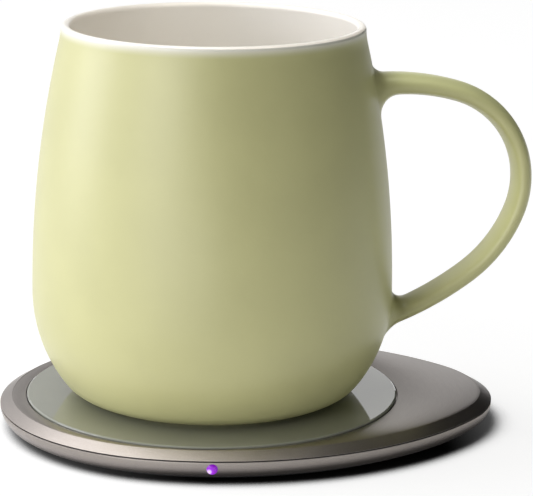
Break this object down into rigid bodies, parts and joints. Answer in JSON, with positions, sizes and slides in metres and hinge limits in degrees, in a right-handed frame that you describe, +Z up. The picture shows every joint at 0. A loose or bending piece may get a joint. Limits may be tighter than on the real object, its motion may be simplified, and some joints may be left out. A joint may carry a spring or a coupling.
{
  "type": "self-heating mug with warming pad",
  "caption": "Self-heating mug set: a sage green ceramic mug with a large D-shaped handle on a low egg-shaped metal warming pad with a round glass disc, an indicator light and a USB-C inlet.",
  "frame": {"origin": "on the table, under the axis of the mug and of the round glass disc", "axes": "+Z up; +X along the pad's long axis to its narrow end and the mug's handle; -Y is the front with the indicator light, and +Y is the rear with the power inlet"},
  "size_m": [0.1335, 0.1014, 0.1016],
  "materials": {
    "green_glaze": "satin",
    "white_glaze": "gloss",
    "film_steel": "satin",
    "printed_glass": "polished",
    "pad_metal": "satin",
    "dark_seal": "matte",
    "mat_rubber": "matte",
    "screw_steel": "satin",
    "insulation": "matte",
    "copper": "satin",
    "ferrite": "matte",
    "carrier_plastic": "matte",
    "sensor_resin": "gloss",
    "silicone": "matte",
    "board_laminate": "satin",
    "chip_resin": "matte",
    "thermal_silicone": "matte",
    "core_powder": "matte",
    "capacitor_ceramic": "satin",
    "led_resin": "gloss",
    "violet_light": "gloss",
    "socket_steel": "satin",
    "socket_plastic": "matte"
  },
  "bodies": {
    "pad": {"glass_disc": "printed_glass", "glass_adhesive": "dark_seal", "top_cover": "pad_metal", "seam_gasket": "dark_seal", "base_shell": "pad_metal", "foot_mat": "mat_rubber", "case_screws": "screw_steel", "insulation_sheet": "insulation", "transmit_coil": "copper", "coil_leads": "copper", "ferrite_ring": "ferrite", "coil_carrier": "carrier_plastic", "heat_sensor": "sensor_resin", "sensor_holder": "silicone", "control_board": "board_laminate", "board_screws": "screw_steel", "controller_chip": "chip_resin", "power_transistors": "chip_resin", "thermal_pads": "thermal_silicone", "power_inductor": "core_powder", "resonant_capacitors": "capacitor_ceramic", "indicator_led": "led_resin", "light_guide": "violet_light", "usb_socket": "socket_steel", "usb_tongue": "socket_plastic"},
    "mug": {"mug_body": "green_glaze", "mug_handle": "green_glaze", "inner_glaze": "white_glaze", "heating_film": "film_steel"}
  },
  "joints": [
    {"name": "mug_lift", "type": "slide", "parent": "pad", "child": "mug", "axis": [0, 0, 1], "range_m": [0, 0.12]}
  ]
}
